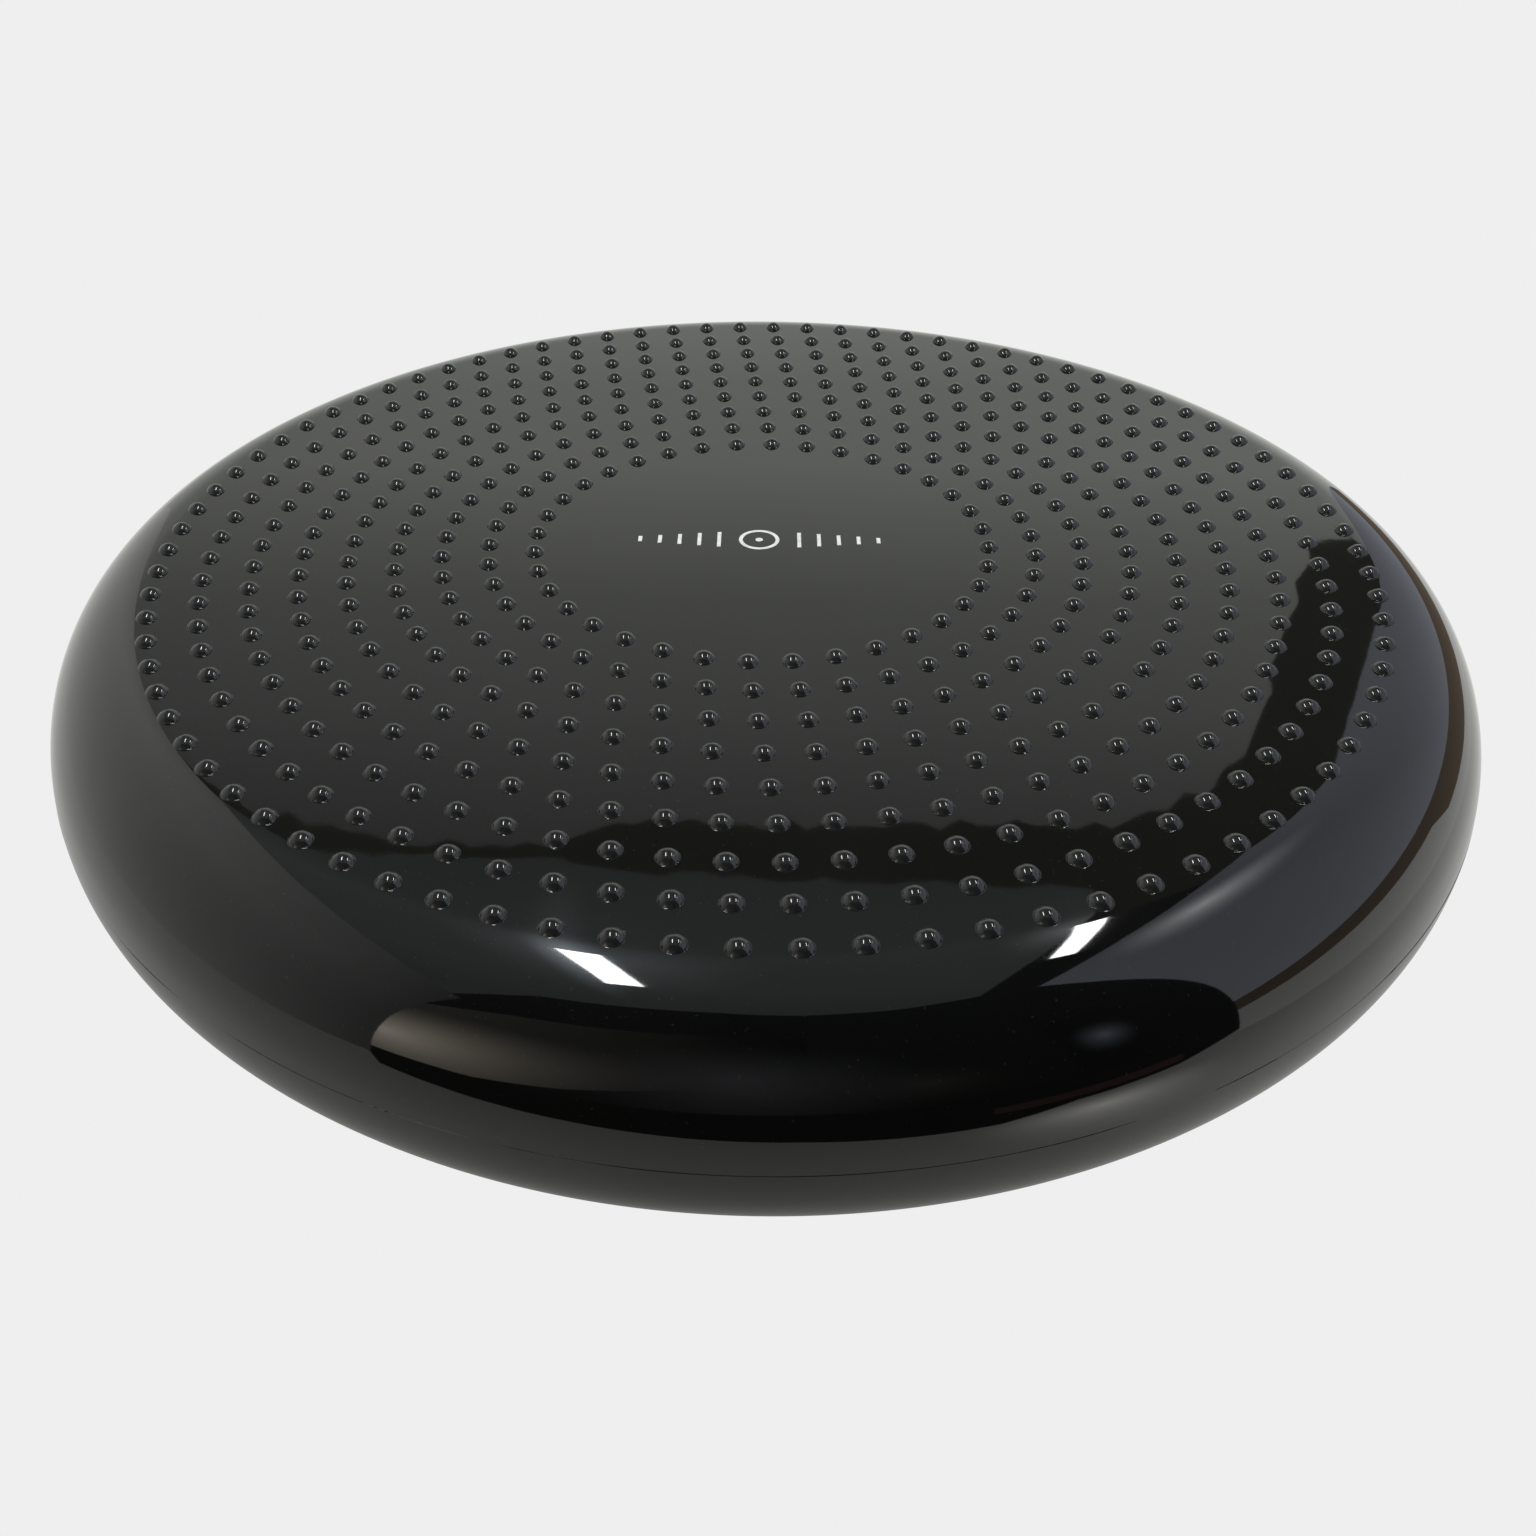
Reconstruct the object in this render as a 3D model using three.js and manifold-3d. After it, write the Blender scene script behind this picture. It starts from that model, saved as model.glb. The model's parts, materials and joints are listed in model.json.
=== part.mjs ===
// Wobble cushion: an air-filled soft PVC disc that is stood or sat on, with a needle valve in its side.
// Units are millimetres, +Z is up, and the origin is the centre of the face that rests on the floor.
// The skin is made in rings, one above the other, because the rings between the rigid ones give when it moves.

import * as THREE from 'three';
import { mergeVertices } from 'three/addons/utils/BufferGeometryUtils.js';
import Module from 'manifold-3d';

const wasm = await Module();
wasm.setup();

// Driving dimensions of the bladder.
const DIAMETER = 330;
const RIM_HALF_WIDTH = 23.8; // half axis of the rim's elliptical section, across
const UPPER_HALF_HEIGHT = 27.8; // from the widest line up to the deck
const LOWER_HALF_HEIGHT = 24.4; // from the widest line down to the underside
const STUD_HEIGHT = 2.2; // the massage studs under the cushion stand this far below its skin
const WALL = 3.4;
const GAP = 0.3; // between neighbouring solids

// Where one ring of skin ends and the next begins, as heights above the floor.
const LOWER_FLANK_FROM = 3.4;
const WAIST_FROM = 19.4;
const WAIST_TO = 34;
const SHOULDER_FROM = 47.5;
const DECK_EDGE_ANGLE = 86; // degrees round the rim's section, where the shoulder meets the deck
const STUD_FIELD_RADIUS = 132;

// Driving dimensions of the valve, whose axis is +Y.
const BOSS_RADIUS = 6.2;
const BOSS_LENGTH = 12;
const CORE_RADIUS = 3.9;
const CORE_LIP_RADIUS = 5.6;
const CORE_LIP_THICKNESS = 2;
const HEAD_RECESS_RADIUS = 2.9;
const HEAD_RECESS_DEPTH = 1.7;
const NEEDLE_RADIUS = 1.2;
const STOPPER_HEAD_THICKNESS = 1.2;
const STOPPER_STEM_LENGTH = 9;

// Faceting.
const TURN_STEPS = 60;
const ARC_STEP = 11; // degrees round the rim's section
const VALVE_STEPS = 24;

// Worked out from the above.
const OUTER_RADIUS = DIAMETER / 2;
const RIM_CENTRE_RADIUS = OUTER_RADIUS - RIM_HALF_WIDTH;
const WIDEST_Z = STUD_HEIGHT + LOWER_HALF_HEIGHT;
const DECK_Z = WIDEST_Z + UPPER_HALF_HEIGHT;

const skinMaterial = () => new THREE.MeshStandardMaterial({ color: 0x161716, roughness: 0.18, metalness: 0 });
const rubberMaterial = () => new THREE.MeshStandardMaterial({ color: 0x1d1d1e, roughness: 0.6, metalness: 0 });
const stopperMaterial = () => new THREE.MeshStandardMaterial({ color: 0x26272a, roughness: 0.4, metalness: 0 });

// A point of the rim's section: angle 0 is the widest line, 90 the deck and -90 the underside.
function rimPoint(angle, inset) {
  const turn = THREE.MathUtils.degToRad(angle);
  const halfHeight = angle >= 0 ? UPPER_HALF_HEIGHT : LOWER_HALF_HEIGHT;
  const radius = RIM_CENTRE_RADIUS + (RIM_HALF_WIDTH - inset) * Math.cos(turn);
  const height = WIDEST_Z + (halfHeight - inset) * Math.sin(turn);
  return new THREE.Vector2(radius, height);
}

// The angle at which the rim's outer face is at a height.
function rimAngle(height) {
  const halfHeight = height >= WIDEST_Z ? UPPER_HALF_HEIGHT : LOWER_HALF_HEIGHT;
  return THREE.MathUtils.radToDeg(Math.asin((height - WIDEST_Z) / halfHeight));
}

// The angle that a length along the rim's face takes up there.
function gapAngle(angle) {
  const step = rimPoint(angle, 0).distanceTo(rimPoint(angle + 1, 0));
  return GAP / step;
}

function rimArc(fromAngle, toAngle, inset) {
  if (fromAngle * toAngle < 0) {
    return [...rimArc(fromAngle, 0, inset), ...rimArc(0, toAngle, inset).slice(1)];
  }
  const steps = Math.max(1, Math.ceil(Math.abs(toAngle - fromAngle) / ARC_STEP));
  const points = [];
  for (let i = 0; i <= steps; i += 1) {
    points.push(rimPoint(fromAngle + ((toAngle - fromAngle) * i) / steps, inset));
  }
  return points;
}

// A closed profile turned about the Z axis.
function turned(profile) {
  const geometry = new THREE.LatheGeometry([...profile, profile[0]], TURN_STEPS);
  geometry.rotateX(Math.PI / 2);
  return geometry;
}

// A ring of skin between two heights of the rim.
function skinRing(fromAngle, toAngle) {
  const low = fromAngle + gapAngle(fromAngle) / 2;
  const high = toAngle - gapAngle(toAngle) / 2;
  return turned([...rimArc(low, high, 0), ...rimArc(high, low, WALL)]);
}

// A round bar along +Y from one distance to another, at the valve's height.
function valveBar(radius, fromY, toY) {
  const geometry = new THREE.CylinderGeometry(radius, radius, toY - fromY, VALVE_STEPS);
  geometry.translate(0, (fromY + toY) / 2, 0);
  geometry.translate(0, 0, WIDEST_Z);
  return geometry;
}

function toSolid(geometry) {
  const bare = geometry.clone();
  bare.deleteAttribute('normal');
  bare.deleteAttribute('uv');
  const merged = mergeVertices(bare);
  return new wasm.Manifold(new wasm.Mesh({
    numProp: 3,
    vertProperties: new Float32Array(merged.attributes.position.array),
    triVerts: new Uint32Array(merged.index.array),
  }));
}

function toGeometry(solid) {
  const mesh = solid.getMesh();
  const geometry = new THREE.BufferGeometry();
  geometry.setAttribute('position', new THREE.BufferAttribute(new Float32Array(mesh.vertProperties), 3));
  geometry.setIndex(new THREE.BufferAttribute(new Uint32Array(mesh.triVerts), 1));
  geometry.computeVertexNormals();
  return geometry;
}

const cushion = new THREE.Group();

function addNode(name, geometry, material) {
  const mesh = new THREE.Mesh(geometry, material);
  mesh.name = name;
  cushion.add(mesh);
}

const lowerFlankAngle = rimAngle(LOWER_FLANK_FROM);
const waistLowAngle = rimAngle(WAIST_FROM);
const waistHighAngle = rimAngle(WAIST_TO);
const shoulderAngle = rimAngle(SHOULDER_FROM);

// The underside: a panel that is flat over the field of studs and turns up into the belly.
function bottomPanel() {
  const edge = lowerFlankAngle - gapAngle(lowerFlankAngle) / 2;
  return turned([
    new THREE.Vector2(0, 0),
    new THREE.Vector2(STUD_FIELD_RADIUS, 0),
    new THREE.Vector2(STUD_FIELD_RADIUS + STUD_HEIGHT, STUD_HEIGHT),
    ...rimArc(-90, edge, 0),
    ...rimArc(edge, -90, WALL),
    new THREE.Vector2(0, STUD_HEIGHT + WALL),
  ]);
}

// The deck: the flat panel that carries the rings of small studs.
function topPanel() {
  const edge = DECK_EDGE_ANGLE + gapAngle(DECK_EDGE_ANGLE) / 2;
  return turned([
    new THREE.Vector2(0, DECK_Z - WALL),
    rimPoint(90, WALL),
    rimPoint(edge, WALL),
    rimPoint(edge, 0),
    rimPoint(90, 0),
    new THREE.Vector2(0, DECK_Z),
  ]);
}

// The valve's parts lie one inside the other, with their outer faces just below the skin's outline.
const bossFace = OUTER_RADIUS - GAP;
const bossBack = bossFace - BOSS_LENGTH;
const coreFace = bossFace - GAP;
const coreBack = bossBack - GAP;
const recessFloor = coreFace - HEAD_RECESS_DEPTH;

function waistBand() {
  const ring = toSolid(skinRing(waistLowAngle, waistHighAngle));
  const hole = toSolid(valveBar(BOSS_RADIUS + GAP, bossBack, OUTER_RADIUS + 1));
  return toGeometry(ring.subtract(hole));
}

function valveBoss() {
  const outline = toSolid(turned([new THREE.Vector2(0, 0), ...rimArc(-90, 90, GAP), new THREE.Vector2(0, DECK_Z)]));
  const bar = toSolid(valveBar(BOSS_RADIUS, bossBack, OUTER_RADIUS));
  const hole = toSolid(valveBar(CORE_RADIUS + GAP, bossBack - 1, OUTER_RADIUS + 1));
  return toGeometry(bar.intersect(outline).subtract(hole));
}

function valveCore() {
  const barrel = toSolid(valveBar(CORE_RADIUS, coreBack - CORE_LIP_THICKNESS, coreFace));
  const lip = toSolid(valveBar(CORE_LIP_RADIUS, coreBack - CORE_LIP_THICKNESS, coreBack));
  const needleHole = toSolid(valveBar(NEEDLE_RADIUS, coreBack - CORE_LIP_THICKNESS - 1, OUTER_RADIUS));
  const recess = toSolid(valveBar(HEAD_RECESS_RADIUS, recessFloor, OUTER_RADIUS));
  return toGeometry(barrel.add(lip).subtract(needleHole).subtract(recess));
}

function valveStopper() {
  const headBack = recessFloor + GAP;
  const head = toSolid(valveBar(HEAD_RECESS_RADIUS - GAP, headBack, headBack + STOPPER_HEAD_THICKNESS));
  const stem = toSolid(valveBar(NEEDLE_RADIUS - GAP, headBack - STOPPER_STEM_LENGTH, headBack + GAP));
  return toGeometry(head.add(stem));
}

addNode('bottom_panel', bottomPanel(), skinMaterial());
addNode('lower_flank', skinRing(lowerFlankAngle, waistLowAngle), skinMaterial());
addNode('waist_band', waistBand(), skinMaterial());
addNode('upper_flank', skinRing(waistHighAngle, shoulderAngle), skinMaterial());
addNode('shoulder_ring', skinRing(shoulderAngle, DECK_EDGE_ANGLE), skinMaterial());
addNode('top_panel', topPanel(), skinMaterial());
addNode('valve_boss', valveBoss(), skinMaterial());
addNode('valve_core', valveCore(), rubberMaterial());
addNode('valve_stopper', valveStopper(), stopperMaterial());

export default cushion;
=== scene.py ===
"""Wobble cushion: a glossy moulded PVC air disc with rings of small studs, in a light tent."""

import json
import math
import random

import bmesh
import bpy
import numpy as np
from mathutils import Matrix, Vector
from mathutils.geometry import delaunay_2d_cdt


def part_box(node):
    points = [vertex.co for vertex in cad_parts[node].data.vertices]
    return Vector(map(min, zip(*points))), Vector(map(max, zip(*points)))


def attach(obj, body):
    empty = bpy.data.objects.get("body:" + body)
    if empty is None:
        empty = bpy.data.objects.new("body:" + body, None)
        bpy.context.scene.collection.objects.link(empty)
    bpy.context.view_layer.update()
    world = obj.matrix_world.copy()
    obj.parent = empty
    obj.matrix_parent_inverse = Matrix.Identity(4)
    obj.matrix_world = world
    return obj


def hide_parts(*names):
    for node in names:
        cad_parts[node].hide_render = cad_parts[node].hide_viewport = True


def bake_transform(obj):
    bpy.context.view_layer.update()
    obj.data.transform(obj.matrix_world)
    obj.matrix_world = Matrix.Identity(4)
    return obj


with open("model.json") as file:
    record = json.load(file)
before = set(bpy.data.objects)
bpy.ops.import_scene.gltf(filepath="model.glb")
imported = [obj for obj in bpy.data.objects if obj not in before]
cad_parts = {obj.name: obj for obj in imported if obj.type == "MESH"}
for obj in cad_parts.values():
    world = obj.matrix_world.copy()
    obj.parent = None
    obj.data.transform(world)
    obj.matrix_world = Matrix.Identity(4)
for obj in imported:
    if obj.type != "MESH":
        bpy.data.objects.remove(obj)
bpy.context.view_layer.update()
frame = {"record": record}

# ---------------------------------------------------------------- places taken from the frame, in metres

JOINTS = {joint["name"]: joint for joint in frame["record"]["behaviour"]["joints"]}


def bend_start(joint):
    """The height where the skin that bends at a joint begins."""
    return JOINTS[joint]["deforming_nodes"][0]["fixed_end_z_m"]


OUTER_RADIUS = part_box("waist_band")[1].x
DECK_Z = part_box("top_panel")[1].z
LOWER_FLANK_Z = bend_start("rock_side")
WAIST_LOW_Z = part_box("waist_band")[0].z
WAIST_HIGH_Z = bend_start("rock_front")
SHOULDER_Z = bend_start("deck_squash")
WIDEST_Z = JOINTS["rock_side"]["pos_m"][2]
BOSS_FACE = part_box("valve_boss")[1].y
BOSS_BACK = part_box("valve_boss")[0].y
BOSS_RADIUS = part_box("valve_boss")[1].x
CORE_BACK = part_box("valve_core")[0].y
STOPPER_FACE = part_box("valve_stopper")[1].y
STOPPER_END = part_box("valve_stopper")[0].y
STOPPER_HEAD_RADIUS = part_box("valve_stopper")[1].x

# ---------------------------------------------------------------- driving dimensions, in metres

# The skin.
RIM_HALF_WIDTH = 0.0238
WALL = 0.0012
DECK_EDGE_ANGLE = 86.0  # degrees round the rim's section, where the shoulder meets the deck

# The studs.
STUD_RINGS = 9
FIRST_RING_STUDS = 36
STUD_SECTORS = 6  # each ring has this many studs more than the one inside it
FIRST_STUD_RING = 0.0536
LAST_STUD_RING = 0.13975
STUD_PATTERN_TURN = 37.35  # degrees
STUD_FOOT_RADIUS = 0.00235
STUD_HEIGHT = 0.00152
STUD_FILLET = 0.00008
FOOT_RINGS = 8
FOOT_RING_PITCH = 0.0158
FOOT_STUD_RADIUS = 0.0036
FOOT_STUD_FILLET = 0.0006
FOOT_STUD_HEIGHT = 0.0022  # the studs under the cushion stand on the floor

# The moulding line. Its height is uneven: a mean, a swing with the direction, and a sum of sine waves.
PARTING_ANGLE = 4.0  # degrees round the rim's section
PARTING_WIDTH = 0.00040
PARTING_HEIGHT = 0.00010
PARTING_STRONGEST = math.radians(-55)  # the direction in which the line stands out most
PARTING_MEAN = 0.35  # this and the next four are shares of its height
PARTING_SWING = 0.25
PARTING_UNEVENNESS = 0.5
PARTING_FAINTEST = 0.06
PARTING_JITTER = 0.05
PARTING_WAVES = 14
PARTING_WAVE_TURNS = (3, 40)  # the fewest and the most times a wave repeats on its way round
PARTING_DRIFT = 0.15  # degrees that the line wanders up and down
PARTING_DRIFTS = 5
PARTING_SIDES_SUNK = 0.00005
PARTING_ROOT_SUNK = 0.0004
PARTING_VALVE_GAP = 0.0008
PARTING_STEPS = 1440

# The valve.
VALVE_GAP = 0.0003
CORE_RADIUS = 0.0039
CORE_LIP_RADIUS = 0.0044
CORE_LIP_THICKNESS = 0.0020
COLLAR_BACK_RADIUS = 0.0046  # it tapers, so that the skin above it has room to sink
COLLAR_TAPER = 0.0070
COLLAR_SUNK = 0.0004  # how far its face lies behind the frame's boss face
CORE_SUNK = 0.0006
RECESS_RADIUS = STOPPER_HEAD_RADIUS + VALVE_GAP
RECESS_DEPTH = 0.0017
NEEDLE_RADIUS = 0.0012
STOPPER_STEM_RADIUS = 0.0009
STOPPER_TIP_RADIUS = 0.0005
STOPPER_TIP_TAPER = 0.0015
STOPPER_HEAD_THICKNESS = 0.0012
GROOVE_MOUTH = (0.0006, 0.0017)  # inner and outer radius of the groove in the stopper's face
GROOVE_FLOOR = (0.0008, 0.0014)
GROOVE_DEPTH = 0.0005
EDGE_ROUND = 0.00025
VALVE_SIDES = 64
HOLE_REACH = 0.005  # how far the tool that cuts the valve's hole stands out of the rim
SHARP_ANGLE = math.radians(35)

# The print.
INK_THICKNESS = 0.00006
MARK_CENTRE = (-0.0005, 0.0)
RING_RADIUS = 0.0048
LINE_WIDTH = 0.0009
FIRST_BAR = 0.0095
BAR_PITCH = 0.0047
BARS_PER_SIDE = 5
LONGEST_BAR = 0.0072
SHORTEST_BAR = 0.0026
MARK_SIDES = 72

# What follows from the above.
LOWER_HALF_HEIGHT = WIDEST_Z - FOOT_STUD_HEIGHT
UPPER_HALF_HEIGHT = DECK_Z - WIDEST_Z
RIM_CENTRE_RADIUS = OUTER_RADIUS - RIM_HALF_WIDTH

# The meshes.
TURN_STEPS = 360
STUD_SIDES = 16
STUD_CLEARANCE = 1.15  # plain points keep this many foot radii away from a stud's centre
PLAIN_RINGS = (0.012, 0.026, 0.040, 0.048)  # circles of plain points inside the first ring of studs
EDGE_RINGS = 7  # circles of plain points where the skin begins to turn
EDGE_RINGS_START = 0.006  # how far inside the rim's centre line they begin
SAME_PLACE = 1e-7  # how near two points are that count as one
TRIANGLE_NEARNESS = 1e-6  # millimetres
ON_SKIN = 2e-3  # how near to 1 the section's equation is for a point that counts as on the outer face

# The camera.
CAMERA_PLACE = (0.0, -0.3167, DECK_Z + 0.16867)
CAMERA_TURN = (53.261, 0.166, 1.379)  # degrees: pitch, roll and yaw
CAMERA_LENS = 34.97  # millimetres
CAMERA_SHIFT = 0.0266
CAMERA_SENSOR = 36.0

# The floor and the light tent.
PALE_GREY = 0.862
DARK_ROOM = 0.015  # the room beyond the tent's open front, as the gloss shows it

TENT_TOP = DECK_Z + 0.400
TENT_LEFT = -0.350
TENT_BACK = 0.340
WALL_START = (0.252, -0.215)  # of the right wall, on the plan
WALL_END = (0.300, 0.315)
STRIP_Z = TENT_TOP - 0.003
STRIP_RADIANCE = 30.0
FLOOR_LIT_Z = -0.0002  # just above the floor that the camera sees
FLOOR_SEEN_Z = -0.0004

# Colours of the PVC.
BLACK = (0.0, 0.0, 0.0)
PVC_COLOUR = (0.005, 0.0053, 0.005)
PVC_DARKER = (0.0042, 0.0046, 0.0044)
PVC_LIGHTER = (0.0058, 0.0060, 0.0057)
DUST_COLOUR = (0.02, 0.02, 0.019)

random.seed(7)


# ---------------------------------------------------------------- camera

def add_camera():
    camera = bpy.data.cameras.new("camera")
    camera.lens = CAMERA_LENS
    camera.sensor_width = CAMERA_SENSOR
    camera.shift_x = CAMERA_SHIFT
    camera.clip_start = 0.01
    holder = bpy.data.objects.new("camera", camera)
    holder.location = CAMERA_PLACE
    holder.rotation_euler = [math.radians(angle) for angle in CAMERA_TURN]
    bpy.context.scene.collection.objects.link(holder)
    bpy.context.scene.camera = holder


add_camera()


# ---------------------------------------------------------------- node helpers

def node_material(name):
    material = bpy.data.materials.new(name)
    material.use_nodes = True
    return material, material.node_tree


def principled(name, colour, roughness):
    material, tree = node_material(name)
    shader = tree.nodes["Principled BSDF"]
    shader.inputs["Base Color"].default_value = (*colour, 1.0)
    shader.inputs["Roughness"].default_value = roughness
    return material, tree, shader


def noise(tree, scale, detail):
    place = tree.nodes.new("ShaderNodeTexCoord")
    texture = tree.nodes.new("ShaderNodeTexNoise")
    texture.inputs["Scale"].default_value = scale
    texture.inputs["Detail"].default_value = detail
    tree.links.new(place.outputs["Object"], texture.inputs["Vector"])
    return texture.outputs["Fac"]


def coordinate(tree, place, axis):
    """The X, Y or Z of a vector, or with R its length."""
    if axis == "R":
        length = tree.nodes.new("ShaderNodeVectorMath")
        length.operation = "LENGTH"
        tree.links.new(place, length.inputs[0])
        return length.outputs["Value"]
    split = tree.nodes.new("ShaderNodeSeparateXYZ")
    tree.links.new(place, split.inputs["Vector"])
    return split.outputs[axis]


def ramp(tree, source, stops):
    """A colour ramp from (position, colour) stops."""
    node = tree.nodes.new("ShaderNodeValToRGB")
    elements = node.color_ramp.elements
    elements.remove(elements[1])
    elements[0].position = stops[0][0]
    elements[0].color = (*stops[0][1], 1.0)
    for position, colour in stops[1:]:
        elements.new(position).color = (*colour, 1.0)
    tree.links.new(source, node.inputs["Fac"])
    return node.outputs["Color"]


def map_range(tree, source, low, high, to_low, to_high):
    node = tree.nodes.new("ShaderNodeMapRange")
    node.inputs["From Min"].default_value = low
    node.inputs["From Max"].default_value = high
    node.inputs["To Min"].default_value = to_low
    node.inputs["To Max"].default_value = to_high
    tree.links.new(source, node.inputs["Value"])
    return node.outputs["Result"]


def combine(tree, first, second, operation):
    node = tree.nodes.new("ShaderNodeMix")
    node.data_type = "RGBA"
    node.blend_type = operation
    node.inputs["Factor"].default_value = 1.0
    tree.links.new(first, node.inputs["A"])
    tree.links.new(second, node.inputs["B"])
    return node.outputs["Result"]


def bump(tree, shader, source, distance, below=None):
    """Bump of a height in metres, laid over the bump below it, for the shader."""
    node = tree.nodes.new("ShaderNodeBump")
    node.inputs["Distance"].default_value = distance
    tree.links.new(source, node.inputs["Height"])
    if below:
        tree.links.new(below, node.inputs["Normal"])
    tree.links.new(node.outputs["Normal"], shader.inputs["Normal"])
    return node.outputs["Normal"]


# ---------------------------------------------------------------- materials of the cushion

def pvc(name, roughness, painted_sheen=0.0):
    """Glossy moulded PVC: near black, with faint orange peel, a cloudy polish and fine specks of dust.

    Painted sheen: steep faces, as on the sides of the studs, get a greyer base colour that stands in for the
    pale gloss they show.
    """
    material, tree, shader = principled(name, PVC_COLOUR, roughness)
    shader.inputs["IOR"].default_value = 1.5
    clouds = noise(tree, 28.0, 4.0)
    tint = ramp(tree, clouds, [(0.3, PVC_DARKER), (0.7, PVC_LIGHTER)])
    dust = ramp(tree, noise(tree, 1400.0, 1.0), [(0.72, BLACK), (0.80, DUST_COLOUR)])
    colour = combine(tree, tint, dust, "ADD")
    # painted sheen: the base colour turns greyer as the face grows steep
    if painted_sheen:
        facing = tree.nodes.new("ShaderNodeTexCoord").outputs["Normal"]
        steepness = map_range(tree, coordinate(tree, facing, "Z"), 0.97, 0.80, 0.0, 1.0)
        colour = combine(tree, colour, ramp(tree, steepness, [(0.0, BLACK), (1.0, (painted_sheen,) * 3)]), "ADD")
    tree.links.new(colour, shader.inputs["Base Color"])
    polish = map_range(tree, clouds, 0.3, 0.7, roughness * 0.85, roughness * 1.2)
    tree.links.new(polish, shader.inputs["Roughness"])
    waves = bump(tree, shader, noise(tree, 60.0, 2.0), 0.00002)
    bump(tree, shader, noise(tree, 900.0, 2.0), 0.0000006, waves)
    return material


def satin(name, colour, roughness, grain):
    """Satin rubber, plastic or ink, with a cloudy shade and a fine grain."""
    material, tree, shader = principled(name, colour, roughness)
    cloud = noise(tree, grain, 5.0)
    shades = [(0.3, tuple(0.85 * c for c in colour)), (0.7, tuple(1.15 * c for c in colour))]
    tree.links.new(ramp(tree, cloud, shades), shader.inputs["Base Color"])
    polish = map_range(tree, cloud, 0.3, 0.7, roughness * 0.85, roughness * 1.15)
    tree.links.new(polish, shader.inputs["Roughness"])
    bump(tree, shader, noise(tree, grain * 6, 2.0), 0.00001)
    return material


# the deck's studs get a painted sheen on their steep sides
deck_pvc = pvc("deck_pvc", 0.03, painted_sheen=0.016)
flank_pvc = pvc("flank_pvc", 0.035)
valve_rubber = satin("valve_rubber", (0.016, 0.016, 0.017), 0.55, 300.0)
stopper_plastic = satin("stopper_plastic", (0.024, 0.024, 0.027), 0.35, 200.0)
print_ink = satin("print_ink", (0.80, 0.81, 0.80), 0.35, 500.0)


# ---------------------------------------------------------------- the rim's section

def half_height(rise):
    return UPPER_HALF_HEIGHT if rise >= 0 else LOWER_HALF_HEIGHT


def rim_point(angle, inset=0.0):
    """Radius and height on the rim's section, where 0 degrees is the widest line and 90 the deck."""
    cosine = math.cos(math.radians(angle))
    sine = math.sin(math.radians(angle))
    radius = RIM_CENTRE_RADIUS + (RIM_HALF_WIDTH - inset) * cosine
    height = WIDEST_Z + (half_height(sine) - inset) * sine
    return radius, height


def rim_angle(height):
    """The angle at which the rim's outer face is at a height."""
    rise = height - WIDEST_Z
    return math.degrees(math.asin(rise / half_height(rise)))


def skin_height(radius, side):
    """Height of the upper (side 1) or lower (side -1) skin at a radius."""
    reach = min(max(radius - RIM_CENTRE_RADIUS, 0.0) / RIM_HALF_WIDTH, 1.0)
    return WIDEST_Z + side * half_height(side) * math.sqrt(1.0 - reach * reach)


def skin_normal(x, y, z):
    """Outward direction of the skin at a point of it."""
    radius = math.hypot(x, y)
    outward = max(radius - RIM_CENTRE_RADIUS, 0.0) / RIM_HALF_WIDTH ** 2
    upward = (z - WIDEST_Z) / half_height(z - WIDEST_Z) ** 2
    if radius == 0:
        return Vector((0, 0, upward)).normalized()
    return Vector((x * outward / radius, y * outward / radius, upward)).normalized()


def on_skin(x, y, z):
    """Whether a point lies on the skin's outer face."""
    reach = max(math.hypot(x, y) - RIM_CENTRE_RADIUS, 0.0) / RIM_HALF_WIDTH
    rise = (z - WIDEST_Z) / half_height(z - WIDEST_Z)
    return abs(reach * reach + rise * rise - 1.0) < ON_SKIN


# ---------------------------------------------------------------- mesh helpers

def new_object(name, vertices, faces, material):
    mesh = bpy.data.meshes.new(name)
    mesh.from_pydata([tuple(v) for v in vertices], [], faces)
    mesh.update()
    mesh.materials.append(material)
    piece = bpy.data.objects.new(name, mesh)
    bpy.context.scene.collection.objects.link(piece)
    return piece


def set_skin_normals(piece, stud_normals=None):
    """Gives the outer face exact normals, so that gloss runs across the joins between the pieces."""
    mesh = piece.data
    outer = dict(stud_normals or {})
    for vertex in mesh.vertices:
        if vertex.index not in outer and on_skin(*vertex.co):
            outer[vertex.index] = skin_normal(*vertex.co)
    mesh.polygons.foreach_set("use_smooth", [True] * len(mesh.polygons))
    normals = []
    for polygon in mesh.polygons:
        if all(index in outer for index in polygon.vertices):
            normals.extend(outer[index] for index in polygon.vertices)
        else:
            normals.extend(polygon.normal for _ in polygon.vertices)
    mesh.normals_split_custom_set(normals)


def turned(name, profile, material, steps=TURN_STEPS):
    """A closed profile of (radius, height) points turned about the Z axis."""
    vertices = []
    for radius, height in profile:
        for step in range(steps):
            turn = math.tau * step / steps
            vertices.append((radius * math.cos(turn), radius * math.sin(turn), height))
    faces = []
    count = len(profile)
    for row in range(count):
        above = (row + 1) % count
        for step in range(steps):
            beside = (step + 1) % steps
            faces.append((row * steps + step, row * steps + beside,
                          above * steps + beside, above * steps + step))
    return new_object(name, vertices, faces, material)


def skin_ring(name, low, high, material, degrees_per_step=2.0):
    """A closed ring of skin between two angles of the rim's section."""
    steps = max(4, math.ceil((high - low) / degrees_per_step))
    angles = [low + (high - low) * i / steps for i in range(steps + 1)]
    outer = [rim_point(angle) for angle in angles]
    inner = [rim_point(angle, WALL) for angle in reversed(angles)]
    return turned(name, outer + inner, material)


# ---------------------------------------------------------------- studs

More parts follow.
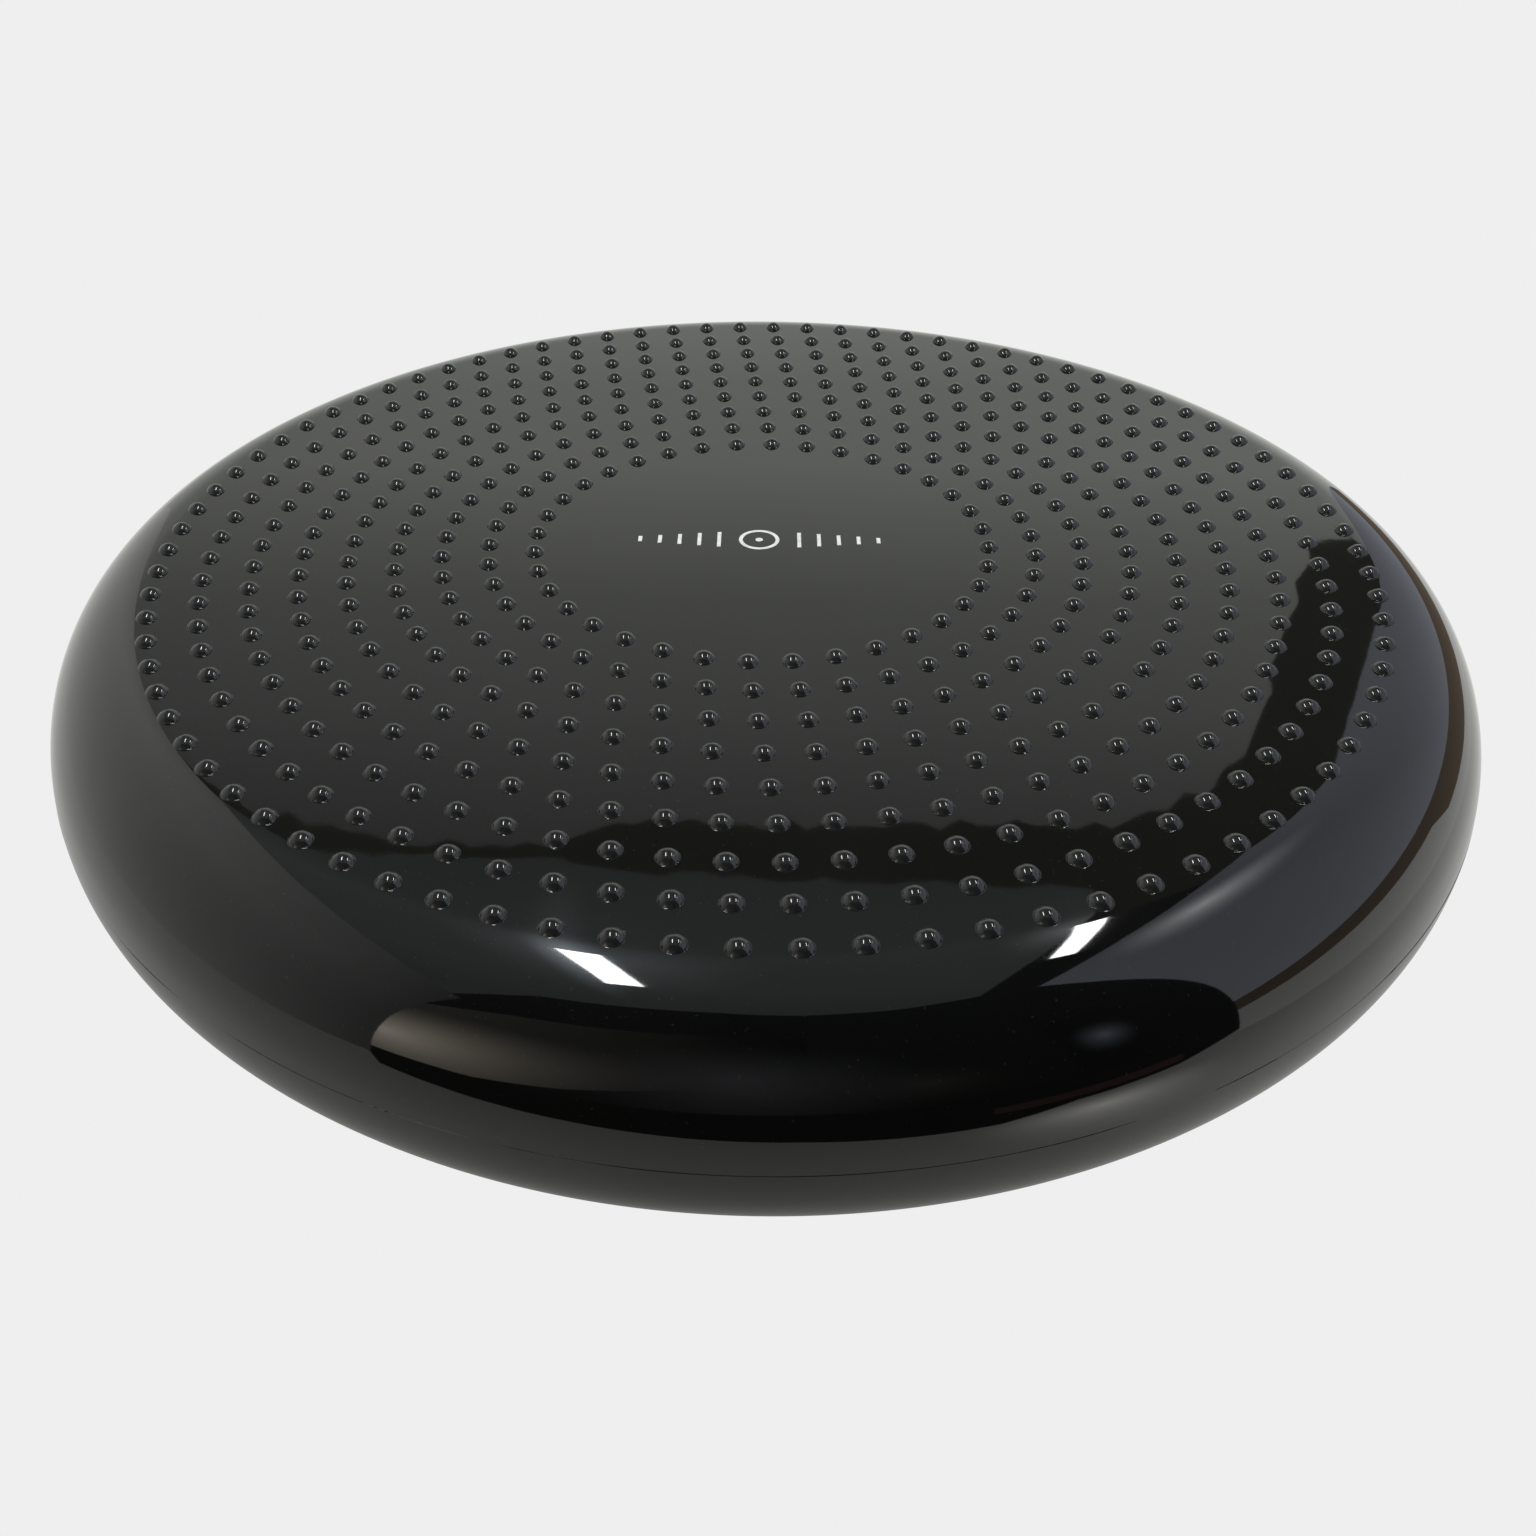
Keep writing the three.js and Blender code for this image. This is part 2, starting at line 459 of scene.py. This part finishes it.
def stud_profile(foot_radius, height, fillet, dome_steps=6):
    """A stud's section from its top down: (distance from its axis, rise, slope in radians) at each point."""
    dome = (foot_radius ** 2 + height ** 2) / (2 * height)
    centre = height - dome
    foot = math.sqrt((dome + fillet) ** 2 - (fillet - centre) ** 2)
    dome_end = math.atan2(foot, fillet - centre)
    points = []
    for i in range(dome_steps + 1):
        slope = dome_end * i / dome_steps
        points.append((dome * math.sin(slope), centre + dome * math.cos(slope), slope))
    for share in (0.5, 1.0):
        slope = dome_end * (1.0 - share)
        points.append((foot - fillet * math.sin(slope), fillet - fillet * math.cos(slope), slope))
    return points


def stud_centres(rings):
    """Centres of the studs, for rings given as (radius, count)."""
    centres = []
    for radius, count in rings:
        for i in range(count):
            turn = math.radians(STUD_PATTERN_TURN) + math.tau * i / count
            centres.append((radius * math.cos(turn), radius * math.sin(turn)))
    return centres


def plain_points(edge_radius, centres, foot):
    """Points of plain skin between the studs, closer together where the skin begins to turn."""
    edge_rings = np.linspace(RIM_CENTRE_RADIUS - EDGE_RINGS_START, edge_radius, EDGE_RINGS)
    centre_array = np.array(centres)
    points = [(0.0, 0.0)]
    for radius in [*PLAIN_RINGS, *edge_rings]:
        for i in range(TURN_STEPS):
            turn = math.tau * i / TURN_STEPS
            point = (radius * math.cos(turn), radius * math.sin(turn))
            clear = np.hypot(*(centre_array - point).T).min() > foot * STUD_CLEARANCE
            if clear or radius == edge_radius:
                points.append(point)
    return points


def studded_disc(name, centres, profile, edge_angle, side, material):
    """A round panel of skin with studs on its outer face, a flat back and a closed edge."""
    foot = profile[-1][0]
    points = []  # (x, y, rise of the stud there, slope and direction of the stud there or None)
    for x, y in centres:
        points.append((x, y, profile[0][1], (0.0, 0.0)))
        for distance, rise, slope in profile[1:]:
            for i in range(STUD_SIDES):
                turn = math.tau * i / STUD_SIDES
                lean = (slope, turn) if distance < foot else None
                points.append((x + distance * math.cos(turn), y + distance * math.sin(turn), rise, lean))
    edge_radius = rim_point(edge_angle * side)[0]
    points += [(x, y, 0.0, None) for x, y in plain_points(edge_radius, centres, foot)]

    millimetres = [(x * 1000, y * 1000) for x, y, _, _ in points]
    triangles = delaunay_2d_cdt(millimetres, [], [], 0, TRIANGLE_NEARNESS, False)[2]
    vertices = []
    normals = {}
    for index, (x, y, rise, lean) in enumerate(points):
        base = skin_height(math.hypot(x, y), side)
        vertices.append((x, y, base + side * rise))
        normals[index] = skin_normal(x, y, base)
        if lean:
            slope, turn = lean
            sideways = math.sin(slope)
            upward = side * math.cos(slope)
            normals[index] = Vector((sideways * math.cos(turn), sideways * math.sin(turn), upward))
    faces = [tuple(triangle) for triangle in triangles]

    from_edge = [abs(math.hypot(point[0], point[1]) - edge_radius) for point in points]
    edge = [i for i, distance in enumerate(from_edge) if distance < SAME_PLACE]
    edge.sort(key=lambda i: math.atan2(points[i][1], points[i][0]))
    back_radius, back_height = rim_point(edge_angle * side, WALL)
    first_back = len(vertices)
    for i in edge:
        share = back_radius / edge_radius
        vertices.append((points[i][0] * share, points[i][1] * share, back_height))
    vertices.append((0.0, 0.0, back_height))
    count = len(edge)
    for i in range(count):
        beside = (i + 1) % count
        faces.append((first_back + i, first_back + beside, edge[beside], edge[i]))
        faces.append((first_back + beside, first_back + i, first_back + count))
    if side < 0:
        faces = [tuple(reversed(face)) for face in faces]
    piece = new_object(name, vertices, faces, material)
    set_skin_normals(piece, normals)
    return piece


# ---------------------------------------------------------------- the skin

lower_angle = rim_angle(LOWER_FLANK_Z)
waist_low_angle = rim_angle(WAIST_LOW_Z)
waist_high_angle = rim_angle(WAIST_HIGH_Z)
shoulder_angle = rim_angle(SHOULDER_Z)


def finish_skin(node):
    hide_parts(node)


def blend_ring(name, node, low, high):
    """A ring of skin in place of a part that bends between two bodies; it is attached to neither."""
    ring = skin_ring(name, low, high, flank_pvc)
    set_skin_normals(ring)
    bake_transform(ring)
    finish_skin(node)


def add_deck():
    pitch = (LAST_STUD_RING - FIRST_STUD_RING) / (STUD_RINGS - 1)
    rings = [(FIRST_STUD_RING + pitch * k, FIRST_RING_STUDS + STUD_SECTORS * k) for k in range(STUD_RINGS)]
    profile = stud_profile(STUD_FOOT_RADIUS, STUD_HEIGHT, STUD_FILLET)
    deck = studded_disc("skin_deck", stud_centres(rings), profile, DECK_EDGE_ANGLE, 1, deck_pvc)
    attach(deck, "deck")
    finish_skin("top_panel")


def add_underside():
    rings = [(FOOT_RING_PITCH * k, STUD_SECTORS * k) for k in range(1, FOOT_RINGS + 1)]
    profile = stud_profile(FOOT_STUD_RADIUS, FOOT_STUD_HEIGHT, FOOT_STUD_FILLET)
    base = studded_disc("skin_base", stud_centres(rings), profile, -lower_angle, -1, flank_pvc)
    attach(base, "base")
    finish_skin("bottom_panel")


# ---------------------------------------------------------------- the valve, on the +Y side

def rounded(corners, radius=EDGE_ROUND, steps=4):
    """A closed outline with each corner that is marked True rounded off."""
    outline = []
    count = len(corners)
    for i, (x, y, is_round) in enumerate(corners):
        here = Vector((x, y))
        if not is_round:
            outline.append(here)
            continue
        before = Vector(corners[i - 1][:2]) - here
        after = Vector(corners[(i + 1) % count][:2]) - here
        start = here + before.normalized() * min(radius, before.length / 2)
        end = here + after.normalized() * min(radius, after.length / 2)
        for step in range(steps + 1):
            share = step / steps
            outline.append(start.lerp(here, share).lerp(here.lerp(end, share), share))
    return outline


def valve_piece(name, outline, material, body, node):
    """A round piece turned about the valve's axis. Its outline is (distance from the axis, y) points."""
    piece = turned(name, [(max(point[0], 0.0), point[1]) for point in outline], material, VALVE_SIDES)
    mesh = piece.data
    for vertex in mesh.vertices:
        x, z, y = vertex.co
        vertex.co = (x, y, WIDEST_Z + z)
    shape = bmesh.new()
    shape.from_mesh(mesh)
    bmesh.ops.remove_doubles(shape, verts=shape.verts, dist=SAME_PLACE)
    bmesh.ops.recalc_face_normals(shape, faces=shape.faces)
    shape.to_mesh(mesh)
    shape.free()
    mesh.shade_smooth()
    mesh.set_sharp_from_angle(angle=SHARP_ANGLE)
    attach(piece, body)
    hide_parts(node)


def add_valve():
    collar_bore = CORE_RADIUS + VALVE_GAP
    collar_face = BOSS_FACE - COLLAR_SUNK
    collar = [(collar_bore, BOSS_BACK, False), (COLLAR_BACK_RADIUS, BOSS_BACK, False),
              (BOSS_RADIUS, BOSS_BACK + COLLAR_TAPER, True),
              (BOSS_RADIUS, collar_face, True), (collar_bore, collar_face, True)]
    valve_piece("valve_collar", rounded(collar), flank_pvc, "waist", "valve_boss")

    core_face = BOSS_FACE - CORE_SUNK
    recess_floor = BOSS_FACE - VALVE_GAP - RECESS_DEPTH
    lip_front = CORE_BACK + CORE_LIP_THICKNESS
    core = [(NEEDLE_RADIUS, CORE_BACK, True), (CORE_LIP_RADIUS, CORE_BACK, True),
            (CORE_LIP_RADIUS, lip_front, True), (CORE_RADIUS, lip_front, False),
            (CORE_RADIUS, core_face, True), (RECESS_RADIUS, core_face, True),
            (RECESS_RADIUS, recess_floor, False), (NEEDLE_RADIUS, recess_floor, True)]
    valve_piece("valve_plug", rounded(core), valve_rubber, "waist", "valve_core")

    head_back = STOPPER_FACE - STOPPER_HEAD_THICKNESS
    tip_top = STOPPER_END + STOPPER_TIP_TAPER
    groove_floor = STOPPER_FACE - GROOVE_DEPTH
    pin = [(0.0, STOPPER_END, False), (STOPPER_TIP_RADIUS, STOPPER_END, True),
           (STOPPER_STEM_RADIUS, tip_top, True), (STOPPER_STEM_RADIUS, head_back, False),
           (STOPPER_HEAD_RADIUS, head_back, True), (STOPPER_HEAD_RADIUS, STOPPER_FACE, True),
           (GROOVE_MOUTH[1], STOPPER_FACE, True), (GROOVE_FLOOR[1], groove_floor, True),
           (GROOVE_FLOOR[0], groove_floor, True), (GROOVE_MOUTH[0], STOPPER_FACE, True),
           (0.0, STOPPER_FACE, False)]
    valve_piece("valve_pin", rounded(pin), stopper_plastic, "stopper", "valve_stopper")


# ---------------------------------------------------------------- the waist and its moulding line

def add_waist():
    waist = skin_ring("skin_waist", waist_low_angle, waist_high_angle, flank_pvc)
    hole_radius = BOSS_RADIUS + VALVE_GAP
    turns = [math.tau * i / VALVE_SIDES for i in range(VALVE_SIDES)]
    circle = [(hole_radius * math.cos(turn), hole_radius * math.sin(turn)) for turn in turns]
    vertices = [(x, y, WIDEST_Z + z) for y in (BOSS_BACK, OUTER_RADIUS + HOLE_REACH) for x, z in circle]
    faces = [tuple(range(VALVE_SIDES)), tuple(reversed(range(VALVE_SIDES, 2 * VALVE_SIDES)))]
    for i in range(VALVE_SIDES):
        beside = (i + 1) % VALVE_SIDES
        faces.append((i, i + VALVE_SIDES, beside + VALVE_SIDES, beside))
    cutter = new_object("valve_hole", vertices, faces, flank_pvc)
    cut = waist.modifiers.new("valve_hole", "BOOLEAN")
    cut.operation = "DIFFERENCE"
    cut.solver = "EXACT"
    cut.object = cutter
    graph = bpy.context.evaluated_depsgraph_get()
    waist.data = bpy.data.meshes.new_from_object(waist.evaluated_get(graph))
    waist.modifiers.clear()
    bpy.data.objects.remove(cutter)
    set_skin_normals(waist)
    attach(waist, "waist")
    finish_skin("waist_band")


def add_parting_line():
    """The thin ridge where the mould's halves met, which fades out and comes back on its way round."""
    stops_at_valve = BOSS_RADIUS + PARTING_VALVE_GAP
    waves = []
    for _ in range(PARTING_WAVES):
        waves.append((random.randint(*PARTING_WAVE_TURNS), random.uniform(0, math.tau)))
    half_width = math.degrees(PARTING_WIDTH / 2 / UPPER_HALF_HEIGHT)
    sections = []
    for step in range(PARTING_STEPS):
        turn = math.tau * step / PARTING_STEPS
        level = sum(math.sin(turns * turn + phase) for turns, phase in waves) / math.sqrt(len(waves))
        swing = PARTING_SWING * math.cos(turn - PARTING_STRONGEST)
        strength = min(max(PARTING_MEAN + swing + PARTING_UNEVENNESS * level, PARTING_FAINTEST), 1.0)
        rise = PARTING_HEIGHT * (strength + random.uniform(-PARTING_JITTER, PARTING_JITTER))
        middle = PARTING_ANGLE + PARTING_DRIFT * math.sin(PARTING_DRIFTS * turn + waves[0][1])
        near_valve = abs(OUTER_RADIUS * math.cos(turn)) < stops_at_valve and math.sin(turn) > 0
        if near_valve:
            rise = -PARTING_HEIGHT
        corners = [(middle - half_width, PARTING_SIDES_SUNK), (middle, -rise),
                   (middle + half_width, PARTING_SIDES_SUNK), (middle, PARTING_ROOT_SUNK)]
        for angle, inset in corners:
            radius, height = rim_point(angle, inset)
            sections.append((radius * math.cos(turn), radius * math.sin(turn), height))
    faces = []
    for step in range(PARTING_STEPS):
        here = step * 4
        beside = (step + 1) % PARTING_STEPS * 4
        for corner in range(4):
            above = (corner + 1) % 4
            faces.append((here + corner, beside + corner, beside + above, here + above))
    line = new_object("parting_line", sections, faces, flank_pvc)
    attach(line, "waist")


# ---------------------------------------------------------------- the print

def add_print():
    """A plain level mark: a ring with a dot in it, and bars at both sides that get shorter outwards."""
    outlines = []
    turns = [math.tau * i / MARK_SIDES for i in range(MARK_SIDES)]
    circle = [(math.cos(turn), math.sin(turn)) for turn in turns]
    for side in (-1, 1):
        for i in range(BARS_PER_SIDE):
            x = side * (FIRST_BAR + BAR_PITCH * i)
            half = (LONGEST_BAR + (SHORTEST_BAR - LONGEST_BAR) * i / (BARS_PER_SIDE - 1)) / 2
            left = x - LINE_WIDTH / 2
            right = x + LINE_WIDTH / 2
            outlines.append([(left, -half), (right, -half), (right, half), (left, half)])
    outlines.append([(LINE_WIDTH * x, LINE_WIDTH * y) for x, y in circle])

    top = DECK_Z + INK_THICKNESS
    below = DECK_Z - INK_THICKNESS
    vertices = []
    faces = []
    for outline in outlines:
        first = len(vertices)
        count = len(outline)
        for z in (top, below):
            vertices += [(MARK_CENTRE[0] + x, MARK_CENTRE[1] + y, z) for x, y in outline]
        faces.append(tuple(range(first, first + count)))
        faces.append(tuple(reversed(range(first + count, first + 2 * count))))
        for i in range(count):
            beside = (i + 1) % count
            faces.append((first + i, first + count + i, first + count + beside, first + beside))
    inner = RING_RADIUS - LINE_WIDTH
    first = len(vertices)
    for radius, z in ((RING_RADIUS, top), (inner, top), (inner, below), (RING_RADIUS, below)):
        vertices += [(MARK_CENTRE[0] + radius * x, MARK_CENTRE[1] + radius * y, z) for x, y in circle]
    for row in range(4):
        above = (row + 1) % 4
        for i in range(MARK_SIDES):
            beside = (i + 1) % MARK_SIDES
            faces.append((first + row * MARK_SIDES + i, first + row * MARK_SIDES + beside,
                          first + above * MARK_SIDES + beside, first + above * MARK_SIDES + i))
    mark = new_object("centre_print", vertices, faces, print_ink)
    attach(mark, "deck")


add_deck()
add_underside()
blend_ring("skin_lower", "lower_flank", lower_angle, waist_low_angle)
blend_ring("skin_upper", "upper_flank", waist_high_angle, shoulder_angle)
blend_ring("skin_shoulder", "shoulder_ring", shoulder_angle, DECK_EDGE_ANGLE)
add_waist()
add_parting_line()
add_valve()
add_print()


# ---------------------------------------------------------------- floor and light tent

def glow(name, colour, gradients=(), spots=()):
    """A material that only shines.

    gradients are (axis, from, to, levels), each multiplying the colour by grey levels at shares of the way.
    The axis R is the distance from the origin.
    spots are (centre, half widths, colour), soft bright patches added to it.
    """
    material, tree = node_material(name)
    tree.nodes.clear()
    emission = tree.nodes.new("ShaderNodeEmission")
    emission.inputs["Color"].default_value = (*colour, 1.0)
    output = tree.nodes.new("ShaderNodeOutputMaterial")
    tree.links.new(emission.outputs["Emission"], output.inputs["Surface"])
    if gradients or spots:
        tree.links.new(patterned(tree, colour, gradients, spots), emission.inputs["Color"])
    return material


def patterned(tree, colour, gradients, spots):
    """A glow's colour with its gradients multiplied in and its spots added."""
    place = tree.nodes.new("ShaderNodeTexCoord").outputs["Object"]
    base = tree.nodes.new("ShaderNodeRGB")
    base.outputs[0].default_value = (*colour, 1.0)
    shine = base.outputs[0]
    for axis, start, end, levels in gradients:
        share = map_range(tree, coordinate(tree, place, axis), start, end, 0.0, 1.0)
        shade = ramp(tree, share, [(position, (level,) * 3) for position, level in levels])
        shine = combine(tree, shine, shade, "MULTIPLY")
    for centre, half_widths, spot_colour in spots:
        shine = combine(tree, shine, soft_spot(tree, place, centre, half_widths, spot_colour), "ADD")
    return shine


def soft_spot(tree, place, centre, half_widths, colour):
    """A colour that fades from its centre to nothing, as an ellipsoid with these half widths."""
    shift = tree.nodes.new("ShaderNodeMapping")
    shift.vector_type = "TEXTURE"
    shift.inputs["Location"].default_value = centre
    shift.inputs["Scale"].default_value = half_widths
    tree.links.new(place, shift.inputs["Vector"])
    gradient = tree.nodes.new("ShaderNodeTexGradient")
    gradient.gradient_type = "QUADRATIC_SPHERE"
    tree.links.new(shift.outputs["Vector"], gradient.inputs["Vector"])
    return ramp(tree, gradient.outputs["Fac"], [(0.0, BLACK), (1.0, colour)])


def card(name, corners, material):
    """A flat panel. It lights the cushion and shows in its gloss, but not to the camera."""
    piece = new_object(name, corners, [tuple(range(len(corners)))], material)
    piece.visible_camera = False


def upright(start, end, low, high):
    """Corners of an upright panel between two places on the plan."""
    return [(*start, low), (*end, low), (*end, high), (*start, high)]


def ragged(points, pitch, depth):
    """Points along a line through the given ones, each moved across it by up to a depth."""
    line = [points[0]]
    for start, end in zip(points, points[1:]):
        start, end = Vector(start), Vector(end)
        along = end - start
        across = Vector((-along.y, along.x)).normalized()
        count = max(1, round(along.length / pitch))
        for i in range(1, count + 1):
            line.append(tuple(start.lerp(end, i / count) + across * random.uniform(-depth, depth)))
    return line


def back_sheet():
    """The back sheet, with a dark gap above its torn top edge and another at its right."""
    torn = [(-0.335, 0.345), (-0.30, 0.350), (-0.20, 0.378), (-0.12, 0.377), (-0.07, 0.362), (0.20, 0.357),
            (0.245, 0.335), (0.265, 0.300), (0.268, 0.180)]
    edge = ragged([(x, DECK_Z + z) for x, z in torn], 0.011, 0.0045)
    corners = [(-0.36, 0.0), (-0.36, DECK_Z + 0.340), *edge, (0.32, DECK_Z + 0.172), (0.32, 0.0)]
    up = [(0.0, 0.90), (0.22, 0.90), (0.36, 0.80), (0.45, 0.88),
          (0.62, 0.62), (0.78, 0.55), (0.88, 0.44), (1.0, 0.34)]
    across = [(0.0, 0.74), (0.35, 0.95), (0.6, 1.0), (1.0, 1.05)]
    material = glow("tent_back", (0.97, 1.0, 0.95),
                    [("Z", 0.0, DECK_Z + 0.38, up), ("X", -0.33, 0.27, across)])
    card("tent_back", [(x, TENT_BACK, z) for x, z in corners], material)
    behind = TENT_BACK + 0.05
    gap = glow("gap_back", (0.075, 0.073, 0.058))
    card("gap_back", upright((-0.45, behind), (0.42, behind), 0.2, 0.7), gap)


def side_walls():
    backwards = [(0.0, 0.24), (0.24, 0.54), (0.50, 0.74), (0.85, 0.86), (1.0, 0.76)]
    upwards = [(0.0, 1.0), (0.62, 1.05), (1.0, 0.8)]
    material = glow("tent_left", (1.0, 1.0, 0.98),
                    [("Y", -0.375, TENT_BACK, backwards), ("Z", 0.0, TENT_TOP, upwards)])
    card("tent_left", upright((TENT_LEFT, -0.375), (TENT_LEFT, TENT_BACK), 0.0, TENT_TOP), material)

    backwards = [(0.0, 1.15), (0.25, 1.0), (0.45, 0.8), (1.0, 0.8)]
    hot_spot = ((0.270, 0.005, DECK_Z + 0.305), (0.20, 0.16, 0.11), (3.2, 3.2, 3.2))
    material = glow("tent_right", (0.69, 0.72, 0.83),
                    [("Y", WALL_START[1], WALL_END[1], backwards)], [hot_spot])
    card("tent_right", upright(WALL_START, WALL_END, DECK_Z + 0.010, TENT_TOP), material)

    step_front = (0.2667, -0.05)
    step_back = (0.2685, -0.03)
    band_foot = [(*WALL_START, DECK_Z - 0.011), (*step_front, DECK_Z - 0.012),
                 (*step_back, DECK_Z - 0.028), (*WALL_END, DECK_Z - 0.048)]
    band_top = [(*WALL_END, DECK_Z + 0.010), (*WALL_START, DECK_Z + 0.010)]
    card("tent_band", band_foot + band_top, glow("tent_band", (0.24, 0.185, 0.135)))
    foot = [(*WALL_START, 0.0), (*WALL_END, 0.0), *reversed(band_foot)]
    card("tent_foot", foot, glow("tent_foot", (0.9, 0.9, 0.88)))


def ceiling():
    front = [(-0.36, -0.355), (-0.20, -0.262), (-0.04, -0.262),
             (0.04, -0.275), (0.12, -0.262), (0.193, -0.225)]
    torn = [(0.193, 0.334), (-0.02, 0.338), (-0.07, 0.343), (-0.12, 0.355), (-0.36, 0.355)]
    back = ragged(torn, 0.012, 0.003)
    backwards = [(0.0, 0.30), (0.25, 0.38), (0.75, 0.36), (1.0, 0.24)]
    halo_left = ((-0.10, 0.06, TENT_TOP), (0.12, 0.30, 0.1), (0.75, 0.82, 0.95))
    trail_left = ((-0.112, 0.06, TENT_TOP), (0.035, 0.30, 0.1), (3.4, 3.8, 4.2))
    halo_right = ((0.185, 0.16, TENT_TOP), (0.05, 0.20, 0.1), (1.2, 1.25, 1.35))
    material = glow("tent_top", (0.95, 1.05, 1.0), [("Y", -0.26, TENT_BACK, backwards)],
                    [halo_left, trail_left, halo_right])
    card("tent_top", [(x, y, TENT_TOP) for x, y in front + back], material)


def dark_room():
    """What lies beyond the tent's front: a tan wall at the left, and a few dim things."""
    wall = [(-0.95, -0.75, -0.01), (-0.50, -0.75, 0.03), (-0.30, -0.75, 0.10), (-0.12, -0.75, 0.20),
            (0.10, -0.75, 0.25), (0.10, -0.75, 0.9), (-0.60, -0.75, 0.9), (-0.95, -0.75, 0.7)]
    things = [((-0.02, -0.77, 0.30), (0.40, 0.3, 0.50), (0.26, 0.26, 0.29)),
              ((0.30, -0.77, 0.22), (0.22, 0.3, 0.22), (0.10, 0.09, 0.08))]
    fading = [("X", -0.80, 0.10, [(0.0, 1.0), (0.4, 0.6), (0.8, 0.15), (1.0, 0.0)])]
    bright = ((-0.80, -0.75, 0.22), (0.72, 0.3, 0.46), (3.0, 2.68, 2.2))
    card("room_wall", wall, glow("room_wall", (0.22, 0.21, 0.185), fading, [bright, *things]))
    far = upright((-0.40, -0.78), (0.65, -0.78), 0.04, 1.0)
    card("room_far", far, glow("room_far", (0.02,) * 3, [], things))
    pale = upright((0.258, -0.376), (0.310, -0.318), 0.03, 0.28)
    faint = ((0.284, -0.347, 0.155), (0.035, 0.035, 0.075), (0.62, 0.72, 0.85))
    card("room_pale", pale, glow("room_pale", (0.01, 0.01, 0.01), [], [faint]))
    red = upright((0.115, -0.285), (0.200, -0.228), 0.002, 0.014)
    card("room_red", red, glow("room_red", (0.13, 0.06, 0.065)))


def strip_light(name, centre, size, turn):
    """A rectangular lamp under the ceiling, turned by some degrees on the plan."""
    light = bpy.data.lights.new(name, "AREA")
    light.shape = "RECTANGLE"
    light.size, light.size_y = size
    light.energy = STRIP_RADIANCE * math.pi * size[0] * size[1]
    lamp = bpy.data.objects.new(name, light)
    lamp.location = (*centre, STRIP_Z)
    lamp.rotation_euler = (0.0, 0.0, math.radians(turn))
    lamp.visible_camera = False
    bpy.context.scene.collection.objects.link(lamp)


def floors():
    """The floor that the camera sees, and the one that lights the cushion and shows in its gloss."""
    reach = 30.0
    corners = [(-reach, -reach), (reach, -reach), (reach, reach), (-reach, reach)]
    seen = new_object("floor_seen", [(x, y, FLOOR_SEEN_Z) for x, y in corners], [(0, 1, 2, 3)],
                      glow("floor_seen", (PALE_GREY,) * 3))
    seen.visible_glossy = False
    seen.visible_diffuse = False
    seen.visible_shadow = False

    front = [(-0.36, -0.380), (-0.21, -0.272), (-0.06, -0.274), (0.02, -0.266),
             (0.09, -0.238), (0.14, -0.248), (0.19, -0.222), (0.36, -0.232)]
    rightwards = [(0.0, 0.72), (0.5, 0.66), (0.66, 0.78), (1.0, 0.74)]
    backwards = [(0.0, 0.80), (0.45, 1.0), (1.0, 1.15)]
    # painted shadow: the lit floor darkens towards the cushion, as if in the shade under its rim
    painted_belly_shadow = [(0.0, 0.35), (0.55, 0.78), (1.0, 1.0)]
    glare = ((0.115, -0.206, 0.0), (0.060, 0.052, 0.1), (2.2, 2.15, 2.0))
    gradients = [("X", -0.3, 0.3, rightwards), ("Y", -0.26, 0.1, backwards), ("R", 0.150, 0.200, painted_belly_shadow)]
    outline = [*front, (0.36, 0.36), (-0.36, 0.36)]
    material = glow("floor_lit", (1.0, 1.0, 0.97), gradients, [glare])
    card("floor_lit", [(x, y, FLOOR_LIT_Z) for x, y in outline], material)


def room_world():
    """Pale behind the floor for the camera, and nearly dark for everything else."""
    world = bpy.data.worlds.new("room")
    world.use_nodes = True
    tree = world.node_tree
    path = tree.nodes.new("ShaderNodeLightPath")
    level = map_range(tree, path.outputs["Is Camera Ray"], 0.0, 1.0, DARK_ROOM, PALE_GREY)
    tree.links.new(level, tree.nodes["Background"].inputs["Color"])
    bpy.context.scene.world = world


floors()
back_sheet()
side_walls()
ceiling()
dark_room()
strip_light("strip_left", (-0.099, -0.010), (0.028, 0.225), 3.0)
strip_light("strip_right", (0.208, 0.058), (0.023, 0.225), 5.0)
room_world()
bpy.context.scene.view_settings.view_transform = "Standard"
